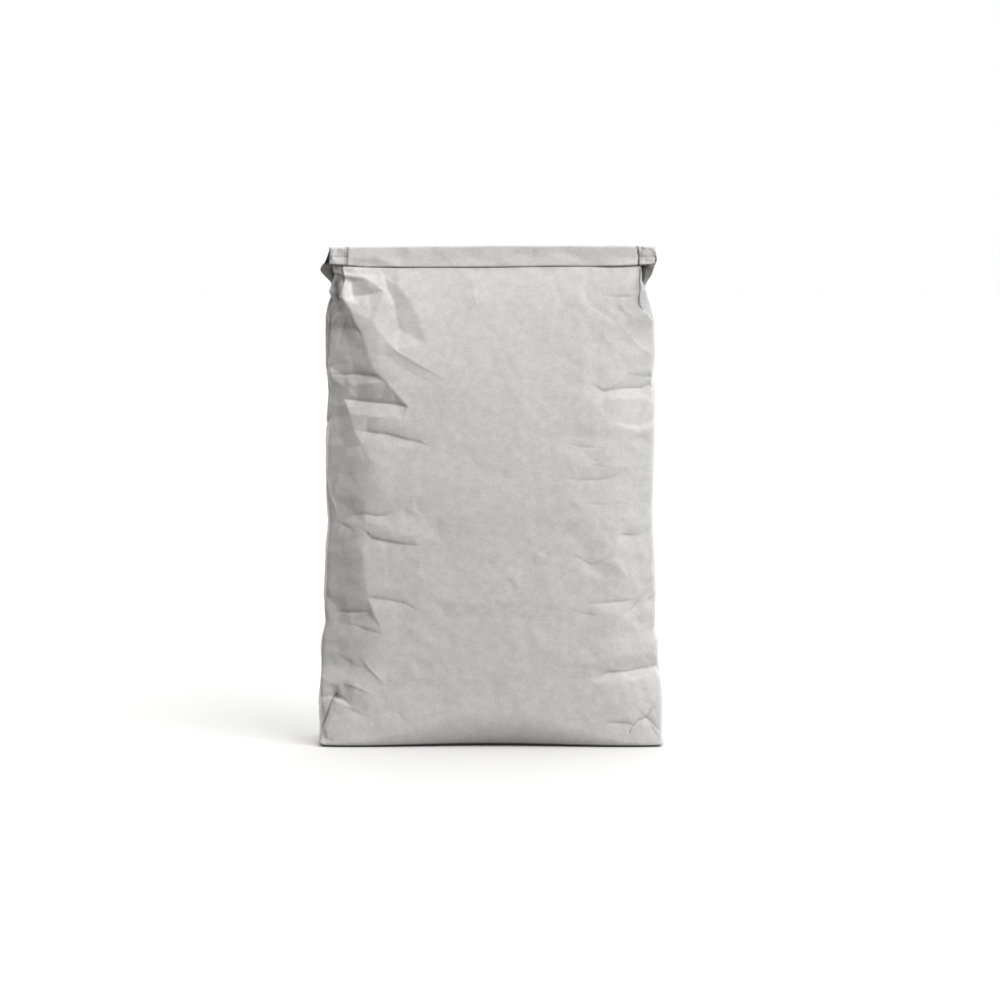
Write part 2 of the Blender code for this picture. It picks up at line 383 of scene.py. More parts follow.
# %% [markdown]
# ## Columns that run up the sack
#
# The skin is one grid. Its columns run up the tube and are told apart by how far round the flat paper tube they
# lie, in millimetres from the middle of the front: 200 to the corner, 113 more across the side panel, and 200
# more to the middle of the back. A column keeps to its panel at every height.

# %% The columns of the grid
PANEL_END = 200
SIDE_END = 313
HALF_ROUND = 513
COLUMN_STEPS = [(0, 1.7), (60, 1.3), (110, 1.05), (235, 1.05), (290, 1.5), (305, 1.1), (336, 1.1), (350, 1.9),
                (HALF_ROUND, 2.2)]


def spaced_columns():
    """Half the columns: the step between two is read from COLUMN_STEPS, by counting up the sum of 1 / step."""
    places, steps = zip(*COLUMN_STEPS)
    fine = np.linspace(0, HALF_ROUND, 4000)
    count = np.concatenate([[0], np.cumsum(np.diff(fine) / np.interp(fine[1:], places, steps))])
    return np.interp(np.linspace(0, count[-1], int(count[-1]) + 1), count, fine)


half_columns = spaced_columns()
columns = np.concatenate([-half_columns[:0:-1], half_columns[:-1]])
print(len(columns), "columns")

# %% [markdown]
# ## The standing wall
#
# Two sections are blended. The filled one is a rectangle whose long sides swell and whose short sides bulge a
# little. The pressed one, at the neck, has the fold at the front corner, the lip, the tuck behind it and the ear.

# %% The two sections
LEAN_START = 450
NECK_Y = 2.0
SPREADING = (496, 542)
FOLDING = (502, 562)
LIP_COLUMN = 225
TUCK_COLUMN = 262
PLEAT_COLUMN = 204
# Depths at the pleat and the lip, as parts of the half depth, for the left and the right side
PLEAT_DEPTH = (0.86, 0.82)
LIP_DEPTH = (0.1, 0.55)


def filled_section(height, column):
    """A swollen rectangle.

    On a panel x = half width * share and depth = half depth - fall * fall_share, with the share of the way to the
    corner. On a side the depth goes evenly from corner to corner, and x = half width + bulge * (1 - g^2), with g
    from -1 to 1.
    """
    reach = np.abs(column)
    half_width = np.where(column < 0, -left_side(height), right_side(height)) - SIDE_BULGE
    fall = np.where(column < 0, left_fall(height), right_fall(height))
    bend = np.where(column < 0, left_bend(height), right_bend(height))
    share = np.where(reach < PANEL_END, reach / PANEL_END, np.clip((HALF_ROUND - reach) / (HALF_ROUND - SIDE_END), 0, 1))
    front, back = half_depth(height, FRONT_CLOSES_AT), half_depth(height, BACK_CLOSES_AT)
    across_side = np.clip((reach - PANEL_END) / (SIDE_END - PANEL_END) * 2 - 1, -1, 1)
    front_corner = front - np.minimum(fall, 0.65 * front)
    back_corner = back - np.minimum(fall, 0.65 * back)
    depth = -(front_corner + back_corner) / 2 * across_side + (front_corner - back_corner) / 2
    depth = np.where(reach < PANEL_END, front - (front - front_corner) * fall_share(share, bend), depth)
    depth = np.where(reach > SIDE_END, -back + (back - back_corner) * fall_share(share, bend), depth)
    x = half_width * np.where((reach > PANEL_END) & (reach < SIDE_END), 1, share) + SIDE_BULGE * (1 - across_side ** 2)
    return np.sign(column) * x, depth


def pressed_section(height, column):
    """Straight runs through the front corner's fold, its pleat, the lip, the bottom of the tuck and the ear."""
    front, back = half_depth(height, FRONT_CLOSES_AT), half_depth(height, BACK_CLOSES_AT)
    stops = np.array([0, PANEL_END, PLEAT_COLUMN, LIP_COLUMN, TUCK_COLUMN, SIDE_END, HALF_ROUND])
    left_x = [0 * height, left_corner(height), left_corner(height) - 0.6, left_lip(height), left_tuck(height),
              left_side(height), 0 * height]
    right_x = [0 * height, right_corner(height), right_corner(height) + 0.6, right_lip(height), right_tuck(height),
               right_side(height), 0 * height]
    pleat, lip = (np.where(column < 0, *shares) * front for shares in (PLEAT_DEPTH, LIP_DEPTH))
    depths = [front, front, pleat, lip, 0 * front, -back, -back]
    reach = np.abs(column)
    x, depth = 0 * reach, 0 * reach
    for step in range(len(stops) - 1):
        here = (reach >= stops[step]) & (reach <= stops[step + 1])
        share = (reach - stops[step]) / (stops[step + 1] - stops[step])
        start = np.where(column < 0, left_x[step], right_x[step])
        end = np.where(column < 0, left_x[step + 1], right_x[step + 1])
        x = np.where(here, start + (end - start) * share, x)
        depth = np.where(here, depths[step] + (depths[step + 1] - depths[step]) * share, depth)
    return x, depth


def round_corners(field, times):
    """Blurs a grid round the ring only, (1 2 1) / 4 each time, which gives folded corners their radius."""
    for _ in range(times):
        field = (np.roll(field, 1, axis=1) + 2 * field + np.roll(field, -1, axis=1)) / 4
    return field


def sack_wall(height, column, corner_blur=0):
    """A point on the standing sack, in mm: the filled section below, and the pressed one at the neck."""
    height, column = np.broadcast_arrays(height, column)
    spread, folded = smooth_step(height, *SPREADING), smooth_step(height, *FOLDING)
    filled_x, filled_depth = filled_section(height, column)
    pressed_x, pressed_depth = pressed_section(height, column)
    x = filled_x + (pressed_x - filled_x) * spread
    depth = filled_depth + (pressed_depth - filled_depth) * folded
    if corner_blur:
        x = x + (round_corners(x, corner_blur) - x) * (1 - folded)
        depth = depth + (round_corners(depth, corner_blur) - depth) * (1 - folded)
        left_stretch = left_side(height[:, :1]) / x.min(axis=1, keepdims=True)
        right_stretch = right_side(height[:, :1]) / x.max(axis=1, keepdims=True)
        x = x * np.where(x < 0, left_stretch, right_stretch)
    lean = NECK_Y * np.clip((height - LEAN_START) / (NECK - LEAN_START), 0, 1)
    return x, lean - depth, height


print("the neck is", (sack_wall(NECK, PANEL_END)[0] - sack_wall(NECK, -PANEL_END)[0]).round(), "mm wide in front")

# %% [markdown]
# ## Rows from the floor to the neck
#
# Rows run round the tube. At the foot the paper turns under in a round edge, wide in the middle of each long side,
# where the powder pushes it out, and tight at the corners, where the paper was folded. At the neck the rows follow
# the lower edge of the band, which hangs over them with only a thin gap.

# %% The band's edges, which the rows follow
TOP_EDGE = [(329, 247.2), (345, 246.9), (428, 245.9), (500, 245.3), (620, 245.3), (655, 246.5)]
BAND_EDGE = [(329, 264.6), (351, 266.0), (366, 267.0), (410, 267.6), (500, 267.4), (545, 266.5), (620, 266.5),
             (640, 265.4), (655, 264.6)]
# The gap under the band in mm, by column of the photograph
GAP = [(329, 1.2), (350, 1.3), (430, 1.2), (500, 0.9), (545, 0.5), (566, 0.4), (585, 0.8), (606, 1.7), (630, 1.3), (655, 1.0)]
BAND_Y = -6


def level_edge(pixels, x, y):
    """The height of a nearly level edge at x, straight between its pixels, for an edge that lies at y."""
    places, heights = photo_place(*np.transpose(pixels), y)
    return np.interp(x, places, heights)


neck_x = sack_wall(NECK, columns)[0]
gap = np.interp(neck_x, photo_place(np.array(GAP)[:, 0], TOP_ROW, BAND_Y)[0], np.array(GAP)[:, 1])
ledge = level_edge(BAND_EDGE, neck_x, BAND_Y) - gap
print("the wall ends at", ledge.min().round(1), "to", ledge.max().round(1), "mm")

# %% The body and its round foot
FOOT_INSET = 20
FOOT_RISE = 46
FOOT_CORNER = 5
FOOT_TOP = 60
FOOT_ARC_ROWS = 26
BODY_STEP = 1.15
STRETCH_START = 520
CORNER_BLUR = 14


def foot_round(column, full):
    """How far the round edge reaches: full in the middle of a long side, and 5 mm at the corners.

    In between it is corner + (full - corner) * cos(share * 90 degrees)^2.4, with the share of the way to the corner.
    """
    reach = np.abs(column)
    share = np.where(reach < PANEL_END, reach / PANEL_END, np.clip((HALF_ROUND - reach) / (HALF_ROUND - SIDE_END), 0, 1))
    return FOOT_CORNER + (full - FOOT_CORNER) * np.cos(share * np.pi / 2).clip(0) ** 2.4


arc = np.linspace(0, np.pi / 2, FOOT_ARC_ROWS)[:, None]
foot_inset, foot_rise = (foot_round(columns, full)[None, :] for full in (FOOT_INSET, FOOT_RISE))
rise = np.linspace(0, 1, int(FOOT_TOP / BODY_STEP))[1:, None]
above_foot = foot_rise + rise * (FOOT_TOP - foot_rise)
levels = np.linspace(FOOT_TOP, NECK, round((NECK - FOOT_TOP) / BODY_STEP))[1:, None]
level_rows = levels + (ledge - NECK) * np.clip((levels - STRETCH_START) / (NECK - STRETCH_START), 0, 1)
body_heights = np.vstack([foot_rise * (1 - np.cos(arc)), above_foot, level_rows])
body_inset = np.vstack([foot_inset * (1 - np.sin(arc)), 0 * above_foot, 0 * level_rows])

body_x, body_y, _ = sack_wall(body_heights, columns[None, :], CORNER_BLUR)
body_x *= 1 - body_inset / PANEL_END
body_y *= 1 - body_inset / half_belly
body = np.stack([body_x, body_y, body_heights], axis=-1)
column_grid = columns + 0 * body_heights
print("body:", body.shape[0], "rows of", body.shape[1], "points")

# %% [markdown]
# ## Facets and folds
#
# Paper bends easily and hardly stretches, so a dented sack is made of nearly flat facets that meet in folds. Two
# tools make them here. The broad facets are a net of triangles. Each line below is a few pixels with a push in
# millimetres, negative where the paper has gone in, and together with quiet points they become one net. The push
# of every point of the skin is read off the triangle that it lies in. The crisp folds come after that.

# %% Facets on the left half of the front, in (column, row, mm of push)
LEFT_FACETS = [
    [(345.6, 268, 5.2), (345, 283, 4.4), (344, 299, 3.8), (351, 311, 2.8), (361.5, 333, 2), (369.5, 352, 1.8),
     (378, 374, 1.8), (392, 389, 1.6), (407, 406, 0.9)],
    [(335.5, 268, -1), (334.5, 284, -2), (332, 300, -3.5)],
    [(348.5, 267.5, 0.8), (350, 281, -2), (352.2, 295, -4.3), (367, 294.8, -1.8), (383.3, 291.5, 0.6),
     (376, 285.5, 2.8), (365.5, 279.4, 3.2), (354, 268, 2.6)],
    [(367, 267.5, 0.2), (378, 276, 0.2)],
    [(383, 274, 0), (387, 288, -1.8), (395, 308, -2.5), (400, 330, -1.8), (397.5, 350, 2)],
    [(384, 276, 0), (397, 284, 1.5), (409, 300, 1.5), (419, 319, 1.5), (428, 345, 1)],
    [(357, 303, 0.6), (372, 320, 2.2), (388, 342, 2.8), (397, 350, 2.6), (410, 359.5, 1.9), (424, 367.5, 1.3),
     (445, 376, 0.3)],
    [(388, 356, 1.2), (402, 367, 0.5), (418, 377, 0), (434, 385, 0)],
    [(328, 308, -3), (326, 325, -6), (326, 348, -7), (328, 366, -6), (328.5, 374, -4)],
    [(337, 312, -2), (343, 327, -2.8), (348, 345, -3), (352, 362, -2.6), (355, 373.5, -2.2)],
    [(330, 376, -1.5), (345, 376, -1), (362, 376, -1), (375, 377, 0)],
    [(331, 386, -3), (344, 387, -1), (352, 386, 0.6), (368, 383, 1), (386, 382.5, 1.2)],
    [(343.5, 399, -0.5), (356, 400.5, -2.7), (379, 402.5, -2.8), (396, 404, -2), (405, 407, -0.5)],
    [(328.5, 393, -3), (328, 403, -3.2), (327.5, 413, -3.6), (327, 424, -4), (326.5, 433, -4.3), (326.5, 446, -4),
     (326.5, 460, -3)],
    [(337, 405, -1.4), (337.5, 414, -1.8), (338.5, 424, -2.2), (340, 434, -2.2), (343, 448, -1.4)],
    [(346, 404, 1.2), (350, 414, 1.8), (355, 430, 1.8), (363, 446, 1.6), (372, 462, 0.9)],
    [(368, 416, 1.5), (385, 418, 1.2), (402, 420, 0.8)],
    [(366, 431, -0.5), (386, 437, -1), (409, 441.5, -1.2), (427, 447, -0.5)],
    [(353, 516, -0.8), (363, 513, -0.6), (374, 516.5, -1), (390, 515, -0.8)],
    [(352, 524, 0.6), (366, 523, 0.6), (384, 525, 0.5)],
    [(371, 540, -0.8), (385, 543, -0.8), (398, 546.5, -0.6)],
    [(372, 531, 0.3), (392, 531, 0.5), (412, 536, 0.6)],
    [(328, 550, -1.2), (326.5, 572, -1.6), (325, 595, -1.6)],
    [(361.5, 547, 0.8), (362, 562, 1.2), (364, 580, 1.3), (367, 597.5, 1.8), (371, 606, 1.6), (375, 616, 1.3),
     (381, 630, 0.6)],
    [(379, 600, -0.4), (398, 602.5, -0.5), (410, 607, -0.4)],
    [(340, 612, -1), (355, 612.5, -1), (366, 612, -0.4)],
    [(335, 625, 0.6), (345, 640, 0.5)],
    [(364, 649, 0.6), (374, 665, 1.4), (386, 675, 1)],
    [(344, 680, 1), (356, 680, 1), (372, 687, 0.8)],
    [(323, 677, 1), (330, 683, 0.8), (338, 684, 1)],
    [(319.5, 694, -1), (327, 695.5, -2), (334, 695.5, -3), (342, 698, -1.5)],
    [(319.5, 705, -3), (320, 716, -2.8), (321, 727, -1.5)],
    [(338.5, 703, 1.2), (333, 716, 1.4), (327.5, 730, 1)],
    [(352, 709, 0.2), (365, 715, -0.2)],
]
print(len(LEFT_FACETS), "lines of facets on the left")

# %% Facets on the right half of the front
RIGHT_FACETS = [
    [(612, 268, 0.5), (624, 272, -1), (633, 268, 0.6)],
    [(601, 288, 0.3), (614, 287, 0.6), (634, 286.5, 0.6)],
    [(572, 296, 0.4), (583, 306, 0.8), (592, 318, 0.3)],
    [(622, 326, 0.3), (633.5, 339, 1), (642, 348.5, 1), (652, 355, 0.6)],
    [(605, 391.5, -1), (625, 388.5, -1.8), (640, 387.5, -2), (652, 383.5, -1.6)],
    [(622, 374, 0.8), (636, 371, 1), (650, 371, 0.8)],
    [(608, 399, 0.6), (628, 399, 0.8), (645, 398, 0.8)],
    [(569, 480.5, -0.2), (585, 481, -0.6), (601, 481, -0.8), (617, 476, -0.4)],
    [(578, 468, 0.4), (598, 464, 0.5), (614, 467, 0.4)],
    [(626, 536, -0.8), (639, 537, -0.8)],
    [(618, 527, 0.4), (628, 524, 0.6), (642, 526, 0.6)],
    [(573, 555, -0.1), (583, 561.5, -0.5), (590, 565, -0.5), (600, 561, -0.3)],
    [(590, 604.5, -0.4), (613, 602, -0.9), (632, 600, -0.9), (641, 597, -0.9)],
    [(604, 611, 0.8), (618, 612, 0.8)],
    [(592, 681, -0.2), (607, 674, -1), (625, 672.5, -1.3), (640, 668, -1.3), (657, 665, -1)],
    [(590, 664, 0.3), (608, 658, 0.6), (630, 655, 0.8), (650, 652, 0.6)],
    [(600, 684, 0.6), (625, 681, 0.9), (645, 678, 0.8)],
    [(640, 731, 0.6), (645, 727, 0.8), (650, 732, 0.6)],
]
print(len(RIGHT_FACETS), "lines of facets on the right")

# %% [markdown]
# ## The crisp folds
#
# Where the powder has settled, the paper was too long and went into short level folds. Such a fold is a crisp
# line with a narrow steep flank above it, which the light from above leaves dark, and a wide gentle flank below
# it, which catches the light. The same profile serves for every fold: the push falls off on both sides as
# exp(-distance / flank), with a short flank on the left of the line's direction and a long one on its right.
# Deep folds have wider flanks than shallow ones, so all of them look like folds of the same paper.

# %% Folds on the front, in (column, row, mm deep), with the steep flank on the left of their direction
FRONT_FOLDS = [
    [(327, 375, 0.3), (330, 374.6, 0.6), (335, 374.5, 1), (345, 374.5, 1.4), (364, 374.5, 1.4), (377.5, 375, 0.3)],
    [(343, 399, 0.3), (352, 399.8, 1.1), (365, 401.2, 1.3), (390, 403.5, 1.3), (401, 405.2, 1.1), (407, 407.5, 0.2)],
    [(361, 431, 0.2), (369, 432, 1), (385.5, 433.7, 1.3), (394.6, 436.2, 1.5), (406, 439.6, 1.5), (418.6, 442, 1.2),
     (427, 446, 0.2)],
    [(372, 419, 0.1), (388, 418, 0.5), (404, 420, 0.1)],
    [(330, 496, -0.2), (333, 503, -0.7), (335, 511, -0.2)],
    [(350, 516, 0.2), (363, 514, 0.9), (376, 516, 1.1), (384, 515.5, 1.2), (391, 511, 0.3)],
    [(336, 521, 0.1), (344, 526, 0.9), (352, 530, 0.3)],
    [(364, 531, 0.4), (371, 538.5, 1.2), (385.5, 541.5, 1.2), (398, 543.8, 1.1), (413, 545.3, 0.8), (424, 545, 0.1)],
    [(331, 545, -0.1), (335, 537, -0.6), (339, 530, -0.1)],
    [(366, 597, 0.3), (378, 599, 0.6), (389, 600.4, 0.8), (406, 604.2, 0.8), (420, 613, 0.1)],
    [(333, 612, 0.1), (340, 611.9, 0.6), (358, 612.2, 0.8), (371, 611.5, 0.2)],
    [(353, 625, 0.5), (366, 629.5, 0.9), (380, 633.5, 0.2)],
    [(384, 684, -0.2), (376, 675, -1.1), (368.5, 667, -0.9), (363, 659, -0.1)],
    [(372, 694, -0.1), (360, 688.5, -1), (350, 684.5, -1.3), (344, 684, -0.2)],
    [(318, 695.5, 0.3), (327, 696, 0.8), (334, 695.5, 2.2), (341, 699, 1.3), (346, 701, 0.2)],
    [(334.5, 697, 1.2), (327.4, 712.7, 1.2), (323, 721.6, 1), (320.5, 729, 0.4)],
    [(340, 704, 0.2), (355, 712.5, 0.7), (373, 719, 0.1)],
    [(327, 737.5, 0.3), (332, 740, 0.9), (338, 743, 0.2)],
    [(334.5, 349, 0.2), (339.5, 336, 1.2), (344.5, 323, 1.2), (345, 315, 0.3)],
    [(349, 312, 0.3), (353, 323, 1), (359, 332, 0.8), (363, 339, 0.1)],
    [(327, 317.5, 0.2), (335, 312, 0.8), (343, 306, 0.6)],
    [(384, 290.5, 0.2), (376, 293, 0.7), (365, 294.5, 1), (352.5, 295.5, 0.8)],
    [(399, 285, 0.1), (391, 280, 1.2), (382.5, 273.5, 0.6)],
    [(449, 382, -0.1), (430, 370.8, -0.6), (412, 360.5, -0.9), (398, 352.4, -0.6), (393, 347, -0.1)],
    [(471, 280, -0.1), (475, 296, -0.5), (479, 312, -0.1)],
    [(600, 295, 0.1), (612, 296.3, 0.7), (625, 296.5, 1.1), (635, 296, 0.4)],
    [(632, 338, -0.2), (641, 348, -0.6), (650, 353, -0.5)],
    [(590, 383, 0.1), (597, 386.8, 0.9), (603, 391, 1.3), (609, 389.6, 0.7), (622, 388, 1), (641, 387.3, 1.8),
     (653, 382.5, 1.5)],
    [(627, 373, -0.1), (621, 380.5, -1), (615, 385, -1.1), (607, 389.5, -0.4)],
    [(567, 442.5, 0.1), (580.6, 446.8, 0.6), (602, 448.4, 0.4), (609, 448, 0.1)],
    [(584, 463.5, 0.1), (598, 465.6, 0.4), (612, 466.8, 0.1)],
    [(568, 478.5, 0.1), (583, 480, 0.6), (600, 480, 0.7), (614, 477, 0.6), (620, 472.5, 0.2)],
    [(589, 503.6, 0.1), (599, 504.3, 0.5), (612, 504, 0.1)],
    [(617, 536.5, 0.2), (624, 534.5, 1), (631, 535.3, 1.1), (638, 533.5, 0.2)],
    [(573, 554.5, 0.2), (584, 561, 0.6), (592, 565.5, 0.7), (600, 562.5, 0.5), (620, 554.5, 0.1)],
    [(590, 603.8, 0.3), (606.6, 602.7, 0.9), (622, 601.6, 1.1), (632, 600.5, 0.5)],
    [(575, 612, 0.1), (586, 614.4, 0.7), (600, 615.4, 0.1)],
    [(625, 615.5, 0.4), (632.5, 607, 1.3), (638, 599.5, 1.3), (647, 590.5, 0.5)],
    [(643, 606, 0.2), (648.5, 599, 0.9), (656, 593.5, 0.5)],
    [(594, 680, 0.2), (600, 676, 0.7), (609, 672.3, 1.6), (626.7, 671.3, 1.8), (641, 668.3, 1.6), (658, 665.4, 0.9)],
    [(606, 723, 0.2), (618, 722.8, 1.2), (629, 723.6, 1.1), (633, 724.5, 0.3)],
    [(629.5, 731.5, 0.9), (633.5, 725.5, 1.2), (640, 719.8, 1.3), (647, 717.5, 1.5), (651, 712, 1.2), (652.5, 704, 0.6)],
    [(648, 717.8, 1.2), (655, 725, 1), (660, 730, 0.5)],
    [(651, 725, 0.3), (654, 731, 0.9), (657, 738, 0.4)],
]
print(len(FRONT_FOLDS), "folds on the front")

# %% [markdown]
# In a few places the paper closes to a slot that is deeper than a single skin can show, such as beside the ears and at
# the pleat under the right end of the band. Those get painted shade in the paper's colour, along lines: each has its
# pixels, its half width in millimetres and how dark it is.

# %% Painted shade in the slots between sheets, as (pixels, mm of half width, strength)
SLOTS = [
    ([(335.5, 693.5), (333, 696), (327, 711), (322, 727)], 1.0, 0.8),
    ([(330, 696.5), (338, 697.5)], 1.2, 0.35),
    ([(651.5, 708), (650, 713)], 1.1, 0.4),
    ([(648, 717.3), (640, 719.5), (634, 724.5), (630, 731.5)], 0.9, 0.35),
    ([(630.5, 731), (629.5, 732.5)], 1.2, 0.5),
]
# The same beside the neck, where several sheets lie behind one pixel: here the places are (mm round, mm up)
NECK_SLOTS = [
    ([(-217, 564), (-212, 556), (-207, 546)], 6.5, 0.85),
    ([(-206, 582), (-206, 566)], 2.5, 0.55),
    ([(-213, 584), (-213, 570)], 5.0, 0.3),
    ([(-209, 546), (-203, 534)], 4.0, 0.6),
    ([(213, 584), (206, 560)], 8.0, 0.85),
    ([(203.5, 584), (203.5, 534)], 4.2, 0.95),
    ([(203, 534), (205, 526), (209, 518)], 3.5, 0.6),
    ([(214, 566), (215, 520)], 10.0, 0.26),
]
print(len(SLOTS) + len(NECK_SLOTS), "slots")

# %% [markdown]
# The sides and the back can't be seen in the photograph. A sack that was squeezed in at the front was squeezed in
# all round, so the same kinds of folds go on there: short level ones where the powder slumped, and a few slanting
# ones under the shoulders. Their places are given in millimetres round the tube and above the floor.

# %% Folds on the sides and the back, in (mm round, mm up, mm deep)
HIDDEN_FOLDS = [
    [(196, 452, 1.6), (214, 450, 2.2), (236, 454, 1.6), (262, 462, 0.3)],
    [(312, 470, 0.3), (294, 462, 1.3), (272, 461, 1.5), (252, 466, 0.3)],
    [(212, 402, 0.1), (224, 396, 1.3), (244, 388, 2), (270, 386, 1.6), (296, 392, 0.3)],
    [(258, 360, 0.2), (280, 352, 1.4), (306, 352, 1.8), (334, 358, 1), (350, 364, 0.1)],
    [(210, 328, 0.1), (222, 322, 1.4), (240, 318, 1.4), (256, 322, 0.2)],
    [(262, 296, 0.2), (282, 288, 1.5), (308, 286, 1.9), (340, 290, 1.2), (366, 286, 0.1)],
    [(212, 254, 0.1), (228, 250, 1.6), (250, 252, 1.5), (270, 260, 0.2)],
    [(276, 226, 0.2), (298, 220, 1.5), (322, 222, 1.5), (346, 214, 0.2)],
    [(210, 176, 0.3), (230, 166, 1.7), (258, 162, 1.8), (284, 168, 0.4)],
    [(284, 148, 0.2), (304, 140, 1.8), (332, 140, 1.7), (360, 134, 0.2)],
    [(204, 98, 0.8), (214, 95, 1.5), (228, 90, 2), (254, 92, 1.5), (276, 100, 0.2)],
    [(290, 84, 0.3), (310, 76, 1.9), (336, 76, 1.6), (362, 84, 0.2)],
    [(214, 46, 0.3), (232, 38, 1.3), (252, 38, 0.2)],
    [(300, 44, 1.2), (316, 36, 1.4), (334, 34, 0.3)],
    [(206, 540, 0.3), (222, 512, 1.2), (232, 480, 0.3)],
    [(318, 556, 0.3), (330, 532, 1.6), (348, 506, 1.8), (374, 484, 1), (392, 476, 0.1)],
    [(392, 528, 0.1), (368, 536, 1.1), (346, 552, 0.2)],
    [(402, 440, 0.1), (376, 432, 1.3), (348, 432, 1.9), (322, 437, 1.5), (308, 444, 0.3)],
    [(330, 404, 0.2), (352, 398, 1.2), (380, 402, 0.2)],
    [(436, 512, 0.1), (462, 505, 0.9), (490, 507, 0.1)],
    [(402, 330, 0.1), (424, 326, 0.6), (446, 330, 0.1)],
    [(396, 182, 0.1), (420, 176, 0.9), (446, 180, 0.1)],
    [(452, 96, 0.1), (476, 90, 0.8), (498, 93, 0.1)],
]
# The left half has the same kinds of folds, each a little higher or lower, and stronger or weaker
LEFT_SHIFT_MM = [11, -9, 7, -13, 9, -6, 12, -10, 6, -8]
LEFT_STRENGTH = [1.1, 0.8, 1.2, 0.9, 0.7, 1.15, 0.85, 1.0]
print(len(HIDDEN_FOLDS), "folds for each side and its half of the back")


# %% The net of triangles
front_columns = columns[np.abs(columns) < 256]


def place_on_front(column, row):
    """(mm round, mm up) of a pixel on the front: the nearest wall column, with its own depth, found in three steps."""
    y = -half_belly
    for _ in range(3):
        x, height = photo_place(column, row, y)
        wall_x, wall_y, _ = sack_wall(height, front_columns)
        around = np.interp(x, wall_x, front_columns)
        y = np.interp(around, front_columns, wall_y)
    return float(around), float(height)


NET_EDGE = 560
QUIET_STEP = 34
QUIET_CLEARANCE = 17
QUIET_JITTER = 6


def quiet_points(taken, seed):
    """Points with no push, on a shaken grid, wherever no line of facets is near."""
    dice = np.random.default_rng(seed)
    around, up = np.meshgrid(np.arange(-NET_EDGE, NET_EDGE + 1, QUIET_STEP), np.arange(0, HEIGHT + 1, QUIET_STEP))
    grid = np.column_stack([around.ravel(), up.ravel()]).astype(float)
    grid += dice.uniform(-QUIET_JITTER, QUIET_JITTER, grid.shape)
    gap = np.hypot(*(grid[:, None, :] - taken[None, :, :]).transpose(2, 0, 1)).min(axis=1)
    return grid[gap > QUIET_CLEARANCE]


def read_net(points, values, edges, around, up):
    """The value at every (around, up): w1 v1 + w2 v2 + w3 v3, with the weights of the triangle it lies in."""
    found = delaunay_2d_cdt([Vector(point) for point in points], edges, [], 0, 0.01)
    corners, triangles, sources = np.array(found[0]), found[2], found[3]
    heights = np.zeros(len(corners))
    for index, source in enumerate(sources):
        if source:
            heights[index] = np.mean([values[item] for item in source])
        else:
            gap = np.hypot(*(points - corners[index]).T)
            near = np.argsort(gap)[:2]
            heights[index] = np.average(values[near], weights=1 / (gap[near] + 0.1))
    flat_around, flat_up = around.ravel(), up.ravel()
    order = np.argsort(flat_around)
    sorted_around = flat_around[order]
    result = np.zeros(flat_around.shape)
    for triangle in triangles:
        (ax, ay), (bx, by), (cx, cy) = corners[triangle]
        area = (bx - ax) * (cy - ay) - (cx - ax) * (by - ay)
        first_place, last_place = np.searchsorted(sorted_around, (min(ax, bx, cx), max(ax, bx, cx)))
        near = order[first_place:last_place]
        near = near[(flat_up[near] >= min(ay, by, cy)) & (flat_up[near] <= max(ay, by, cy))]
        if not len(near) or abs(area) < 1e-9:
            continue
        x, y = flat_around[near], flat_up[near]
        second = ((x - ax) * (cy - ay) - (cx - ax) * (y - ay)) / area
        third = ((bx - ax) * (y - ay) - (x - ax) * (by - ay)) / area
        first = 1 - second - third
        within = (first >= -1e-9) & (second >= -1e-9) & (third >= -1e-9)
        level = first * heights[triangle[0]] + second * heights[triangle[1]] + third * heights[triangle[2]]
        result[near[within]] = level[within]
    return result.reshape(around.shape)


def facet_net(around, up):
    """The push of the facets at each point of the skin."""
    lines = [[(*place_on_front(column, row), push) for column, row, push in line] for line in LEFT_FACETS + RIGHT_FACETS]
    places, pushes, edges = [], [], []
    for line in lines:
        start = len(places)
        places += [point[:2] for point in line]
        pushes += [point[2] for point in line]
        edges += [(start + step, start + step + 1) for step in range(len(line) - 1)]
    quiet = quiet_points(np.array(places), seed=3)
    points = np.vstack([places, quiet])
    values = np.concatenate([pushes, np.zeros(len(quiet))])
    print("facet net:", len(lines), "lines,", len(points), "points")
    return read_net(points, values, edges, around, up)


facets = facet_net(column_grid, body_heights)
print("facets from", facets.min().round(2), "to", facets.max().round(2), "mm")

# %% The folds as one relief
STEEP_FLANK, STEEP_PER_MM = 0.9, 1.0
GENTLE_FLANK, GENTLE_PER_MM = 3.0, 4.5
# Painted shade in the depth of each fold: its half width in mm, and the depths in mm where it begins and where it is
# full
CREASE_SHADE_WIDTH = 0.9
CREASE_SHADE_FROM, CREASE_SHADE_FULL_AT = 0.5, 5.0


def gather_folds():
    """Every fold as a list of (mm round, mm up, mm deep), all the way round the sack."""
    folds = [[(*place_on_front(column, row), deep) for column, row, deep in fold] for fold in FRONT_FOLDS]
    for place, fold in enumerate(HIDDEN_FOLDS):
        lift, strength = LEFT_SHIFT_MM[place % len(LEFT_SHIFT_MM)], LEFT_STRENGTH[place % len(LEFT_STRENGTH)]
        folds.append(fold)
        folds.append([(-around, up + lift, deep * strength * smooth_step(around, 202, 222))
                      for around, up, deep in fold[::-1]])
    return folds


def nearest_on_line(points, x, y):
    """For each place: its distance from a line of (x, y, value), the value there, and if it lies on the left."""
    nearest = np.full(x.shape, np.inf)
    value, left = np.zeros(x.shape), np.zeros(x.shape)
    for (ax, ay, start), (bx, by, end) in zip(points, points[1:]):
        run_x, run_y = bx - ax, by - ay
        share = np.clip(((x - ax) * run_x + (y - ay) * run_y) / (run_x ** 2 + run_y ** 2), 0, 1)
        gap = np.hypot(x - ax - share * run_x, y - ay - share * run_y)
        closer = gap < nearest
        nearest = np.where(closer, gap, nearest)
        value = np.where(closer, start + (end - start) * share, value)
        left = np.where(closer, run_x * (y - ay) - run_y * (x - ax) > 0, left)
    return nearest, value, left


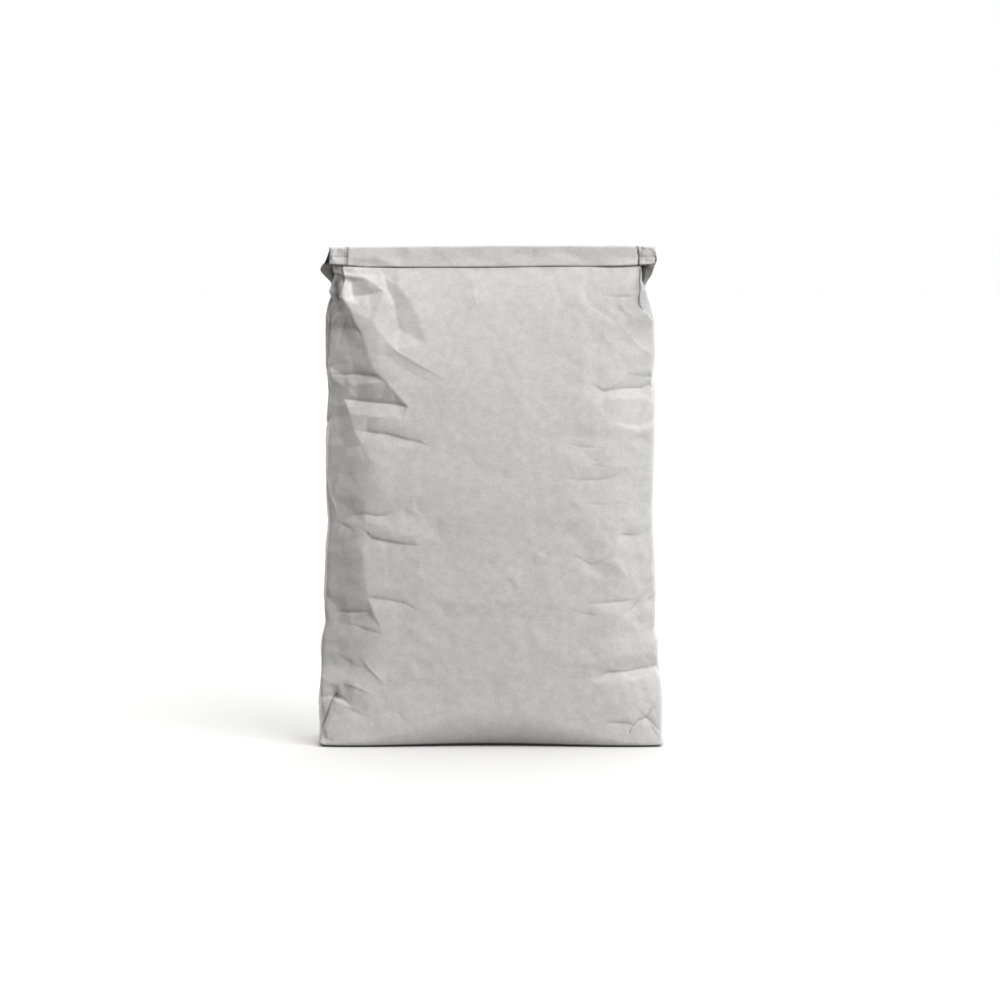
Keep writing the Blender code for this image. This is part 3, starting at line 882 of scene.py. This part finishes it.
def fold_relief(folds, around, up):
    """The sum of -deep * exp(-distance / flank) over all folds, and the shade painted into their depths.

    The distance is that to the nearest piece of the fold, and deep is read there along the fold. The flank is 0.9 mm +
    deep on the left of the fold's direction, and 3 mm + 4.5 * deep on its right. The painted shade is (deep - 0.5) /
    4.5 * exp(-(distance / 0.9)^2), and the strongest one counts.
    """
    relief, marks = np.zeros(around.shape), np.zeros(around.shape)
    for fold in folds:
        points = np.array(fold)
        reach = 4 * (GENTLE_FLANK + GENTLE_PER_MM * np.abs(points[:, 2]).max())
        (low_x, low_y), (high_x, high_y) = points[:, :2].min(axis=0) - reach, points[:, :2].max(axis=0) + reach
        near = np.nonzero((around > low_x) & (around < high_x) & (up > low_y) & (up < high_y))
        x, y = around[near], up[near]
        nearest, deep, left = nearest_on_line(points, x, y)
        size = np.abs(deep)
        flank = np.where(left > 0, STEEP_FLANK + STEEP_PER_MM * size, GENTLE_FLANK + GENTLE_PER_MM * size)
        relief[near] -= deep * np.exp(-nearest / flank)
        share = np.clip((deep - CREASE_SHADE_FROM) / (CREASE_SHADE_FULL_AT - CREASE_SHADE_FROM), 0, 1)
        painted_shade = share * np.exp(-(nearest / CREASE_SHADE_WIDTH) ** 2)
        marks[near] = np.maximum(marks[near], painted_shade)
    return relief, marks


folds, marks = fold_relief(gather_folds(), column_grid, body_heights)
# Painted shade along each slot, as dark as its strength, fading over its half width
front_slots = [([place_on_front(*pixel) for pixel in pixels], *rest) for pixels, *rest in SLOTS]
for places, half_width, strength in front_slots + NECK_SLOTS:
    slot = [(*place, strength) for place in places]
    gap, strength_here, _ = nearest_on_line(slot, column_grid, body_heights + 0 * column_grid)
    marks = np.maximum(marks, strength_here * np.exp(-(gap / half_width) ** 2))
print("folds from", folds.min().round(2), "to", folds.max().round(2), "mm")

# %% [markdown]
# Between the folds the paper isn't perfectly flat either. Handling leaves it slightly crumpled, in facets about
# as wide as a thumb. A second net, of random points with very small pushes, gives that, and it is stronger towards
# the sides, where the paper was bent most.

# %% The crumpling of handled paper
CRUMPLE_STEP, CRUMPLE_MM = 14, 0.3
DENT_STEP, DENT_MM = 37, 0.7


def crumple_net(around, up, step, depth, seed):
    """A net of random pushes, each from a normal distribution, on a grid shaken by 40% of its step."""
    dice = np.random.default_rng(seed)
    grid_around, grid_up = np.meshgrid(np.arange(-NET_EDGE, NET_EDGE + 1, step), np.arange(-step, HEIGHT + step, step))
    points = np.column_stack([grid_around.ravel(), grid_up.ravel()]).astype(float)
    points += dice.uniform(-0.4 * step, 0.4 * step, points.shape)
    values = dice.normal(0, depth, len(points))
    return read_net(points, values, [], around, up)


near_sides = np.exp(-((np.abs(column_grid) - 235) / 95) ** 2)
crumple = crumple_net(column_grid, body_heights, CRUMPLE_STEP, CRUMPLE_MM, seed=11)
crumple += crumple_net(column_grid, body_heights, DENT_STEP, DENT_MM, seed=23)
crumple *= 0.6 + 0.7 * near_sides
crumple *= 1 - smooth_step(body_heights, 535, 555) * smooth_step(np.abs(column_grid), 185, 200)
crumple *= smooth_step(body_heights, 5, 45)
print("crumpling up to", np.abs(crumple).max().round(2), "mm")


# %% [markdown]
# ## Pushing the wall
#
# Each point moves along the wall's outward direction. That direction is square to the grid: the cross product of
# the step along a row and the step up a column. The pushes fade out at the floor and under the band. Afterwards
# each row is stretched until its two ends lie on the outlines again, as the camera sees them.

# %% Smooth the nets a little and move the wall
STRETCH_BLUR = 80


def blur(field, times):
    """Binomial blur on the grid, (1 2 1) / 4 along each direction, with the columns closed to a ring."""
    for _ in range(times):
        field = (np.roll(field, 1, axis=1) + 2 * field + np.roll(field, -1, axis=1)) / 4
        padded = np.vstack([field[:1], field, field[-1:]])
        field = (padded[:-2] + 2 * padded[1:-1] + padded[2:]) / 4
    return field


def outward(points):
    """Unit vectors square to the grid, pointing out of the sack."""
    along = np.roll(points, -1, axis=1) - np.roll(points, 1, axis=1)
    upward = np.gradient(points, axis=0)
    normal = np.cross(along, upward)
    return normal / np.maximum(np.linalg.norm(normal, axis=-1, keepdims=True), 1e-9)


def smooth_rows(values, times):
    """Binomial blur from row to row, (1 2 1) / 4 each time."""
    for _ in range(times):
        padded = np.vstack([values[:1], values, values[-1:]])
        values = (padded[:-2] + 2 * padded[1:-1] + padded[2:]) / 4
    return values


def meet_outline(points):
    """Stretches x in each row, so that its ends seem to lie on the outline.

    A point at depth y seems to lie at x * d / (d + y), with d the camera's distance. The stretch of each half is
    the outline over the furthest such place, and it fades in over the first 40 mm above the floor. It is smoothed
    from row to row, or a fold at the edge would pull a crease right across the panel.
    """
    x, y, z = points[..., 0], points[..., 1], points[..., 2]
    seen_x = x * distance / (distance + y)
    level = z.mean(axis=1, keepdims=True)
    fade = smooth_step(level, 8, 40)
    left = 1 + (smooth_rows(left_side(level) / seen_x.min(axis=1, keepdims=True), STRETCH_BLUR) - 1) * fade
    right = 1 + (smooth_rows(right_side(level) / seen_x.max(axis=1, keepdims=True), STRETCH_BLUR) - 1) * fade
    stretched = points.copy()
    stretched[..., 0] = x * np.where(x < 0, left, right)
    return stretched


calm = smooth_step(body_heights, 1, 12) * (1 - smooth_step(body_heights, ledge - 3, ledge))
relief = blur(facets, 1) + folds + blur(crumple, 2)
pushed_body = body + outward(body) * (relief * calm)[..., None]
pushed_body[..., 2] = np.maximum(pushed_body[..., 2], body[..., 2].clip(max=0.5))
pushed_body = meet_outline(pushed_body)
print("wall moved by", np.abs(relief * calm).max().round(1), "mm at most")

# %% [markdown]
# ## The rolled top
#
# Above the neck both walls of the tube lie flat on each other. The pressed tube is carried over the top, down the
# front as the band, and under itself. In section this is a path: up, half a turn about one hub, down, half a turn
# about a smaller hub, and up again to the mouth, which is hidden. The two walls run along the path, half the
# pressed thickness to each side.

# %% The path of the rolled top, for every column
TOP_HUB_RADIUS = 2.0
UNDER_HUB_RADIUS = 1.0
BAND_LEAN = 3.2
TURNED_UNDER = 16
NECK_ROWS, TOP_ROWS, BAND_ROWS, UNDER_ROWS, MOUTH_ROWS = 10, 10, 14, 8, 5

column_x, column_y, _ = sack_wall(HEIGHT - 2, columns)
neck_depth = (NECK_Y - column_y) / PRESSED_HALF
top_hub_z = level_edge(TOP_EDGE, column_x, 0) - PRESSED_HALF - TOP_HUB_RADIUS
under_hub_z = level_edge(BAND_EDGE, column_x, BAND_Y) + PRESSED_HALF + UNDER_HUB_RADIUS


def straight(start_y, start_z, end_y, end_z, rows):
    """Rows of a straight stretch, as (centre y, centre z, heading y, heading z), without its first row."""
    share = np.linspace(0, 1, rows + 1)[1:, None]
    run = np.hypot(end_y - start_y, end_z - start_z)
    heading_y, heading_z = (end_y - start_y) / run, (end_z - start_z) / run
    return [start_y + share * (end_y - start_y), start_z + share * (end_z - start_z),
            heading_y + 0 * share, heading_z + 0 * share]


def half_turn(hub_y, hub_z, radius, start, rows):
    """Rows of half a turn about a hub: (hub + r cos a, hub + r sin a), heading (-sin a, cos a)."""
    angle = start + np.linspace(0, np.pi, rows + 1)[1:, None]
    return [hub_y + radius * np.cos(angle), hub_z + radius * np.sin(angle),
            -np.sin(angle) + 0 * hub_z, np.cos(angle) + 0 * hub_z]


band_bottom_y = -TOP_HUB_RADIUS - BAND_LEAN
stretches = [
    straight(NECK_Y, ledge + 1.6, NECK_Y, top_hub_z, NECK_ROWS),
    half_turn(0.0, top_hub_z, TOP_HUB_RADIUS, 0.0, TOP_ROWS),
    straight(-TOP_HUB_RADIUS, top_hub_z, band_bottom_y, under_hub_z, BAND_ROWS),
    half_turn(band_bottom_y + UNDER_HUB_RADIUS, under_hub_z, UNDER_HUB_RADIUS, np.pi, UNDER_ROWS),
    straight(band_bottom_y + 2 * UNDER_HUB_RADIUS, under_hub_z, 0.0, under_hub_z + TURNED_UNDER, MOUTH_ROWS),
]
centre_y, centre_z, heading_y, heading_z = (
    np.vstack([stretch[part] + 0 * top_hub_z for stretch in stretches]) for part in range(4))
print("rows in the rolled top:", len(centre_y))

# %% [markdown]
# The band isn't a machined strip. Its two ends are doubled where the gussets lie inside, which leaves a step and a
# pressed line 20 mm from each end, and the paper is a little wavy along its length. Shade is also painted into the
# colour along the pressed lines, along the band's left end and across each doubled end.

# %% The band's own relief, as a push away from the middle of the roll
LEFT_LINES = [[(347.0, 248), (346.8, 264)], [(344.9, 248), (344.9, 264)], [(330.0, 248), (330.4, 264)]]
RIGHT_LINES = [[(637.4, 248), (638.9, 257), (638.3, 264)], [(642.4, 246), (641.2, 254), (641.6, 264)]]
LINE_STRENGTH = (1.5, 0.4, 0.5)
CROSS_LINE_ROW = 256.5
LINE_WIDTH = 0.95
LINE_DEPTH = 0.9
TAB_STEP = 0.5
TAB_CRUMPLE_MM = 0.55
BAND_WAVE_MM = 0.8

first_band_row = NECK_ROWS + TOP_ROWS
last_band_row = first_band_row + BAND_ROWS
row_number = np.arange(len(centre_y))[:, None]
on_band = smooth_step(row_number, NECK_ROWS, first_band_row) * (1 - smooth_step(row_number, last_band_row, last_band_row + UNDER_ROWS))


def line_place(pixels):
    """The x of a line across the band at each of its rows, straight between the line's pixels."""
    places, heights = photo_place(*np.transpose(pixels), BAND_Y)
    return np.interp(centre_z, heights[::-1], places[::-1])


# Each pressed line sets both how far the band is pushed in there and how much shade is painted into it
band_groove_and_shade = sum(
    strength * np.exp(-((column_x - line_place(line)) / LINE_WIDTH) ** 2)
    for lines in (LEFT_LINES, RIGHT_LINES) for line, strength in zip(lines, LINE_STRENGTH))
beyond = (smooth_step(line_place(LEFT_LINES[0]) - column_x, 0, 1.2)
          + smooth_step(column_x - line_place(RIGHT_LINES[0]), 0, 1.2))
cross_line = photo_place(0, CROSS_LINE_ROW, BAND_Y)[1]
band_groove_and_shade = band_groove_and_shade + 0.4 * beyond * np.exp(-((centre_z - cross_line) / LINE_WIDTH) ** 2)
waves = crumple_net(0.55 * column_x[None, :] + 0 * centre_z, centre_z, 13, BAND_WAVE_MM, seed=5)
crumples = crumple_net(column_x[None, :] + 0 * centre_z, centre_z, 4.5, TAB_CRUMPLE_MM, seed=8)
band_push = on_band * (TAB_STEP * beyond - LINE_DEPTH * band_groove_and_shade + blur(waves, 1) + crumples * beyond + 0.5)

top_x = column_x + 0 * centre_y
wall_offset = neck_depth * PRESSED_HALF
top_y = centre_y - wall_offset * heading_z - band_push * np.abs(heading_z)
top_z = centre_z + wall_offset * heading_y
top_x[:NECK_ROWS] = sack_wall(centre_z[:NECK_ROWS], columns)[0]
rolled_top = np.stack([top_x, top_y, top_z], axis=-1)
print("band from", under_hub_z.min().round(1), "to", top_hub_z.max().round(1), "mm")

# %% [markdown]
# ## The underside
#
# The block bottom is folded shut from two flaps and covered by a pasted sheet. It is seen only when the bag is
# tipped, so it is kept plain: the skin carries on level to the middle line, with the sheet standing half a
# millimetre proud of the paper round it.

# %% The underside, as rows that close on the middle line
BOTTOM_ROWS = 9
SHEET_PROUD = 0.5
SHEET_EDGE = 0.45

rim = pushed_body[0]
spine_x = np.clip(rim[:, 0], -150, 150)
inward = np.linspace(0, 1, BOTTOM_ROWS + 1)[1:, None]
bottom_x = rim[:, 0] + (spine_x - rim[:, 0]) * inward
bottom_y = rim[:, 1] * (1 - inward)
bottom_z = SHEET_PROUD * (1 - smooth_step(inward, SHEET_EDGE - 0.12, SHEET_EDGE)) + 0 * bottom_x
pushed_body[0, :, 2] = SHEET_PROUD
bottom = np.stack([bottom_x, bottom_y, bottom_z], axis=-1)[::-1]
print("underside rows:", len(bottom))


# %% [markdown]
# ## One closed skin
#
# Underside, body and rolled top are rows of one grid. Each cell becomes a quad, the last column joins the first,
# and the doubled points on the underside's middle line and at the pressed mouth are merged, so that the skin has
# no hole.

# %% From the grid to a mesh
def ring_quads(rows, columns):
    """Quads of a grid that is closed along its rows, as whole arrays of corner numbers."""
    number = np.arange(rows * columns).reshape(rows, columns)
    following = np.roll(number, -1, axis=1)
    quads = np.stack([number[:-1], following[:-1], following[1:], number[1:]], axis=-1)
    return quads.reshape(-1, 4)


def grid_object(name, points, attributes=None):
    """A closed object from a grid of points in mm, with a number per point for each attribute."""
    rows, columns, _ = points.shape
    data = bpy.data.meshes.new(name)
    data.from_pydata((points.reshape(-1, 3) * MM).tolist(), [], ring_quads(rows, columns).tolist())
    for label, values in (attributes or {}).items():
        layer = data.attributes.new(label, "FLOAT", "POINT")
        layer.data.foreach_set("value", values.ravel().astype(np.float32))
    mesh = bmesh.new()
    mesh.from_mesh(data)
    bmesh.ops.remove_doubles(mesh, verts=mesh.verts, dist=2e-6)
    bmesh.ops.holes_fill(mesh, edges=[edge for edge in mesh.edges if edge.is_boundary])
    bmesh.ops.recalc_face_normals(mesh, faces=mesh.faces)
    open_edges = sum(not edge.is_manifold for edge in mesh.edges)
    mesh.to_mesh(data)
    mesh.free()
    data.shade_smooth()
    piece = bpy.data.objects.new(name, data)
    bpy.context.scene.collection.objects.link(piece)
    print(name, "has", len(data.polygons), "faces and", open_edges, "open edges")
    return piece


# Painted shade on the ears, which the band overhangs: the heights it covers, the columns where it fades towards the
# ears' outer edges, how much it fades there on the left and the right, and how dark it is at most
EAR_LEVELS = (556, 566)
EAR_FADING = (302, 307)
EAR_FADE = (0.62, 0.5)
EAR_SHADE = 0.94
# Painted contact shadow along the foot where it meets the floor: full below the first height in mm and gone above the
# second, both raised where the round edge of the foot is wide
CONTACT_SHADE = 1.0
CONTACT_MM = (1.6, 2.9)

mouth = rolled_top[-1:].copy()
mouth[..., 1] = mouth[..., 1].mean()
mouth[..., 2] += PRESSED_HALF
skin_points = np.concatenate([bottom, pushed_body, rolled_top, mouth])
fold = blur(facets + folds, 1) - blur(facets + folds, 8)
body_rows = slice(len(bottom), len(bottom) + len(pushed_body))
fold_attribute, painted_shade_attribute = np.zeros(skin_points.shape[:2]), np.zeros(skin_points.shape[:2])
fold_attribute[body_rows] = fold * calm
ear = smooth_step(body_heights, *EAR_LEVELS) * smooth_step(np.abs(columns), LIP_COLUMN + 4, LIP_COLUMN + 14)
ear *= 1 - smooth_step(np.abs(columns), SIDE_END, SIDE_END + 6)
ear_fade = np.where(columns < 0, *EAR_FADE) * smooth_step(np.abs(columns), *EAR_FADING)
ear_painted_shade = EAR_SHADE * ear * (1 - ear_fade)
contact_shadow = CONTACT_SHADE * (1 - smooth_step(pushed_body[..., 2] / (1 + foot_rise / FOOT_RISE), *CONTACT_MM))
painted_shade_attribute[body_rows] = np.maximum(np.maximum(marks * calm, ear_painted_shade), contact_shadow)
first_top_row = body_rows.stop
# Painted shade: the wall behind and under the band is fully dark, and the band is dark along its pressed lines
shaded_under_band = (row_number < NECK_ROWS) & (np.abs(columns) < SIDE_END)
painted_shade_attribute[first_top_row:first_top_row + len(rolled_top)] = np.where(shaded_under_band, 1, on_band * band_groove_and_shade)
sack = grid_object("sack_skin", skin_points, {"fold": fold_attribute, "painted_shade": painted_shade_attribute.clip(0, 1)})

# %% [markdown]
# ## Sack paper
#
# The bag is uncoated sack paper, a strong long-fibred paper made on a machine that leaves it slightly rough. Its
# surface is dead matt, so highlights are broad and weak. Close up it has a soft cloudy mottle a few millimetres wide,
# from fibres that lie unevenly, and fine specks. Ridges of the relief are coloured a little paler. Over that, a dark
# colour paints in the shade of deep creases, of slots, of the ears, of the wall behind and under the band, and of the
# foot where it meets the floor.

# %% The paper material
PAPER = "#D3D2D2"
PAPER_PALE = "#DBDAD9"
PAPER_DARK = "#BFBEBC"
# Painted shade: a dark colour, and the most of it that is mixed over the paper, for the shade in deep creases, slots,
# ears, behind and under the band and along the foot
PAINTED_SHADE_COLOUR = "#1F1D1C"
PAINTED_SHADE_SHARE = 0.9
CLOUD_MM = 9
STREAK_MM = (11, 11, 4)
FIBRE_MM = 2.4
SPECK_MM = 2.2


def per_metre(size_mm):
    """The Scale of a noise whose spots are about that wide, on Object coordinates in metres."""
    return 1 / (size_mm * MM)


def sack_paper():
    """Uncoated sack paper: cloudy colour, fine fibre relief, matt and without a coat."""
    material = bpy.data.materials.new("uncoated_sack_paper")
    material.use_nodes = True
    tree = material.node_tree
    shader = tree.nodes["Principled BSDF"]
    place = add_node(tree, "ShaderNodeTexCoord").outputs["Object"]
    cloud = add_node(tree, "ShaderNodeTexNoise", {
        "Vector": place, "Scale": per_metre(CLOUD_MM), "Detail": 4.0, "Roughness": 0.6})
    stretched = add_node(tree, "ShaderNodeMapping", {
        "Vector": place, "Scale": [per_metre(size) for size in STREAK_MM]})
    streaks = add_node(tree, "ShaderNodeTexNoise", {
        "Vector": stretched.outputs["Vector"], "Scale": 1.0, "Detail": 3.0, "Roughness": 0.6})
    fibre = add_node(tree, "ShaderNodeTexNoise", {
        "Vector": place, "Scale": per_metre(FIBRE_MM), "Detail": 3.0, "Roughness": 0.7})
    specks = add_node(tree, "ShaderNodeTexVoronoi", {"Vector": place, "Scale": per_metre(SPECK_MM)})
    mottle = add_node(tree, "ShaderNodeMath", {
        0: cloud.outputs["Fac"], 1: 0.4, 2: 0.0}, operation="MULTIPLY_ADD")
    mottle = add_node(tree, "ShaderNodeMath", {
        0: streaks.outputs["Fac"], 1: 0.14, 2: mottle.outputs[0]}, operation="MULTIPLY_ADD")
    mottle = add_node(tree, "ShaderNodeMath", {
        0: fibre.outputs["Fac"], 1: 0.46, 2: mottle.outputs[0]}, operation="MULTIPLY_ADD")
    tone = add_node(tree, "ShaderNodeValToRGB", {"Fac": mottle.outputs[0]})
    tone.color_ramp.elements[0].position = 0.36
    tone.color_ramp.elements[0].color = linear(PAPER_DARK)
    tone.color_ramp.elements[1].position = 0.64
    tone.color_ramp.elements[1].color = linear(PAPER)
    speck_share = add_node(tree, "ShaderNodeMapRange", {
        "Value": specks.outputs["Distance"], "From Min": 0.0, "From Max": 0.22, "To Min": 0.35, "To Max": 0.0})
    speckled = add_node(tree, "ShaderNodeMix", {"Factor": speck_share.outputs["Result"]}, data_type="RGBA")
    tree.links.new(tone.outputs["Color"], speckled.inputs["A"])
    speckled.inputs["B"].default_value = linear(PAPER_DARK)
    # Ridges of the relief coloured paler, from the relief less its broad blur
    folds = add_node(tree, "ShaderNodeAttribute", attribute_name="fold")
    paler_ridges = add_node(tree, "ShaderNodeMapRange", {
        "Value": folds.outputs["Fac"], "From Min": 0.1, "From Max": 0.9, "To Min": 0.0, "To Max": 0.7})
    final = add_node(tree, "ShaderNodeMix", {"Factor": paler_ridges.outputs["Result"]}, data_type="RGBA")
    tree.links.new(speckled.outputs["Result"], final.inputs["A"])
    final.inputs["B"].default_value = linear(PAPER_PALE)
    # Painted shade, mixed over the paper's colour as far as the skin's shade attribute says
    painted_shade_here = add_node(tree, "ShaderNodeAttribute", attribute_name="painted_shade")
    painted_shade_share = add_node(tree, "ShaderNodeMath", {0: painted_shade_here.outputs["Fac"], 1: PAINTED_SHADE_SHARE}, operation="MULTIPLY")
    shade_painted = add_node(tree, "ShaderNodeMix", {"Factor": painted_shade_share.outputs[0]}, data_type="RGBA")
    tree.links.new(final.outputs["Result"], shade_painted.inputs["A"])
    shade_painted.inputs["B"].default_value = linear(PAINTED_SHADE_COLOUR)
    tree.links.new(shade_painted.outputs["Result"], shader.inputs["Base Color"])
    bump = add_node(tree, "ShaderNodeBump", {
        "Height": fibre.outputs["Fac"], "Strength": 0.3, "Distance": 0.0006})
    tree.links.new(bump.outputs["Normal"], shader.inputs["Normal"])
    shader.inputs["Roughness"].default_value = 0.82
    shader.inputs["IOR"].default_value = 1.5
    shader.inputs["Specular IOR Level"].default_value = 0.35
    return material


sack.data.materials.append(sack_paper())
print("paper on", sack.name)

# %% [markdown]
# ## The cement
#
# The powder inside never shows while the bag is shut. It follows the inside of the paper and ends level below the
# neck. It is made as plainly as that, a smaller copy of the wall without the creases, and with its own grey.

# %% The cement, inside the deepest crease
FILL_LEVEL = 540
FILL_INSET = 8
fill_rows = np.linspace(FILL_INSET, FILL_LEVEL, 40)[:, None]
fill_x, fill_y, fill_z = sack_wall(fill_rows, columns[None, ::6])
depth_here = half_depth(fill_z, NECK)
fill = np.stack([
    fill_x * (1 - FILL_INSET / PANEL_END),
    fill_y * (1 - FILL_INSET / depth_here),
    fill_z,
], axis=-1)
cement = grid_object("cement_powder_fill", fill)

powder = bpy.data.materials.new("portland_cement_powder")
powder.use_nodes = True
powder_tree = powder.node_tree
powder_shader = powder_tree.nodes["Principled BSDF"]
powder_place = add_node(powder_tree, "ShaderNodeTexCoord").outputs["Object"]
grains = add_node(powder_tree, "ShaderNodeTexNoise", {
    "Vector": powder_place, "Scale": per_metre(1.5), "Detail": 4.0})
powder_tone = add_node(powder_tree, "ShaderNodeValToRGB", {"Fac": grains.outputs["Fac"]})
powder_tone.color_ramp.elements[0].color = linear("#7F7E7A")
powder_tone.color_ramp.elements[1].color = linear("#9A9995")
powder_tree.links.new(powder_tone.outputs["Color"], powder_shader.inputs["Base Color"])
powder_shader.inputs["Roughness"].default_value = 0.95
cement.data.materials.append(powder)
print("cement", round(2 * depth_here.max()), "mm deep")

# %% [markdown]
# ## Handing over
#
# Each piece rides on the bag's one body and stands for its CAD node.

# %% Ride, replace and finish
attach(sack, "root")
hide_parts("paper_sack")
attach(cement, "root")
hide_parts("cement_fill")
